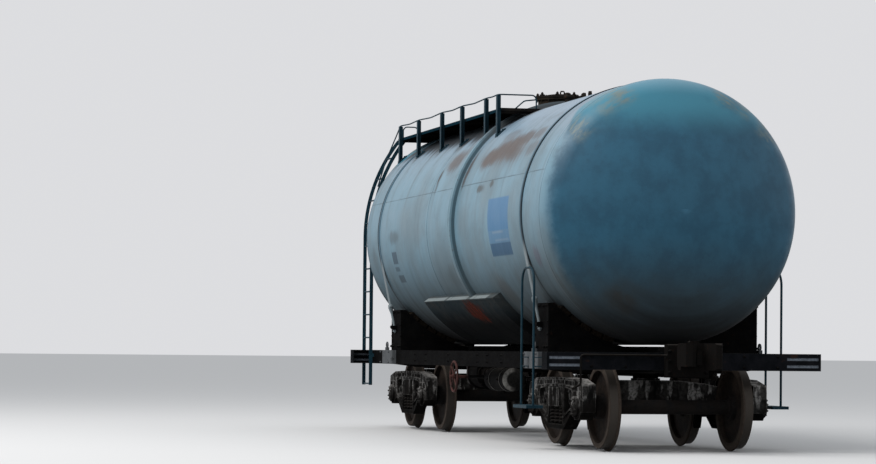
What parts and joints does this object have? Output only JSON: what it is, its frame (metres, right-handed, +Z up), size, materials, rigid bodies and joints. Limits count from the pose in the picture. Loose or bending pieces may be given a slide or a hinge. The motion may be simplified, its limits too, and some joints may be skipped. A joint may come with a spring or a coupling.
{
  "type": "railway tank car",
  "caption": "Four-axle railway tank car: a strapped cylindrical tank on an underframe, swivelling bogies, rolling wheelsets and a hinged hatch lid.",
  "frame": {"origin": "under the middle of the car, level with the lowest points of the wheel flanges", "axes": "+X along the car towards its plain end (the walkways and ladders lie towards -X), +Y across it, +Z up"},
  "size_m": [12.2202, 3.24, 4.4802],
  "materials": {
    "tank_paint": "weathered pale blue enamel, dusty",
    "jacket_paint": "grimy blue grey with rust",
    "strap_steel": "weathered enamel over flat steel",
    "frame_paint": "black enamel under road grime",
    "timber": "oiled hardwood packing",
    "white_paint": "dull white enamel, dirty",
    "rail_paint": "dark teal enamel, chipped",
    "valve_iron": "dull cast metal",
    "hatch_iron": "cast iron lid under brown dust",
    "cast_steel": "cast steel under brake dust",
    "bogie_cast": "cast steel, dusty grey brown",
    "spring_steel": "dusty spring steel",
    "wheel_steel": "rolled steel, rusty web, worn tread",
    "red_paint": "faded red enamel"
  },
  "bodies": {
    "car": {"air_distributor": "cast_steel", "air_reservoir": "frame_paint", "body_bearings": "cast_steel", "bolster_beams": "frame_paint", "bolster_ends": "white_paint", "bottom_outlet": "cast_steel", "brake_cylinder": "frame_paint", "brake_pipe": "cast_steel", "brake_rigging": "cast_steel", "centre_feet": "frame_paint", "centre_sill": "frame_paint", "corner_handrails": "rail_paint", "couplers": "cast_steel", "cross_members": "frame_paint", "deck_brackets": "rail_paint", "end_beams": "frame_paint", "grab_rails": "rail_paint", "hand_brake": "red_paint", "hatch_neck": "valve_iron", "ladder_rungs": "rail_paint", "lifting_eyes": "valve_iron", "saddle_blocks": "timber", "side_jackets": "jacket_paint", "side_ladders": "rail_paint", "side_sills": "frame_paint", "stiffening_ring": "tank_paint", "strikers": "cast_steel", "tank_saddles": "frame_paint", "tank_shell": "tank_paint", "tank_straps": "strap_steel", "top_valves": "valve_iron", "towing_eyes": "white_paint", "uncoupling_levers": "white_paint", "walkway_decks": "rail_paint", "walkway_posts": "rail_paint", "walkway_rails": "rail_paint"},
    "hatch_lid_body": {"hatch_lid": "hatch_iron"},
    "bogie_front": {"side_frames_front": "bogie_cast", "bogie_bolster_front": "bogie_cast", "springs_front": "spring_steel", "friction_wedges_front": "bogie_cast", "axle_boxes_front": "bogie_cast", "brake_beams_front": "cast_steel"},
    "bogie_rear": {"side_frames_rear": "bogie_cast", "bogie_bolster_rear": "bogie_cast", "springs_rear": "spring_steel", "friction_wedges_rear": "bogie_cast", "axle_boxes_rear": "bogie_cast", "brake_beams_rear": "cast_steel"},
    "wheelset_1": {"wheels_1": "wheel_steel", "axle_1": "wheel_steel"},
    "wheelset_2": {"wheels_2": "wheel_steel", "axle_2": "wheel_steel"},
    "wheelset_3": {"wheels_3": "wheel_steel", "axle_3": "wheel_steel"},
    "wheelset_4": {"wheels_4": "wheel_steel", "axle_4": "wheel_steel"}
  },
  "joints": [
    {"name": "bogie_front_swivel", "type": "hinge", "parent": "car", "child": "bogie_front", "pos_m": [3.9, 0, 0.803], "axis": [0, 0, 1], "range_deg": [-4, 4]},
    {"name": "bogie_rear_swivel", "type": "hinge", "parent": "car", "child": "bogie_rear", "pos_m": [-3.9, 0, 0.803], "axis": [0, 0, 1], "range_deg": [-4, 4]},
    {"name": "wheelset_1_roll", "type": "hinge", "parent": "bogie_front", "child": "wheelset_1", "pos_m": [4.825, 0, 0.5065], "axis": [0, 1, 0], "continuous": true},
    {"name": "wheelset_2_roll", "type": "hinge", "parent": "bogie_front", "child": "wheelset_2", "pos_m": [2.975, 0, 0.5065], "axis": [0, 1, 0], "continuous": true},
    {"name": "wheelset_3_roll", "type": "hinge", "parent": "bogie_rear", "child": "wheelset_3", "pos_m": [-4.825, 0, 0.5065], "axis": [0, 1, 0], "continuous": true},
    {"name": "wheelset_4_roll", "type": "hinge", "parent": "bogie_rear", "child": "wheelset_4", "pos_m": [-2.975, 0, 0.5065], "axis": [0, 1, 0], "continuous": true},
    {"name": "hatch_lid_hinge", "type": "hinge", "parent": "car", "child": "hatch_lid_body", "pos_m": [-0.267, 0, 4.431], "axis": [0, -1, 0], "range_deg": [0, 110]}
  ]
}
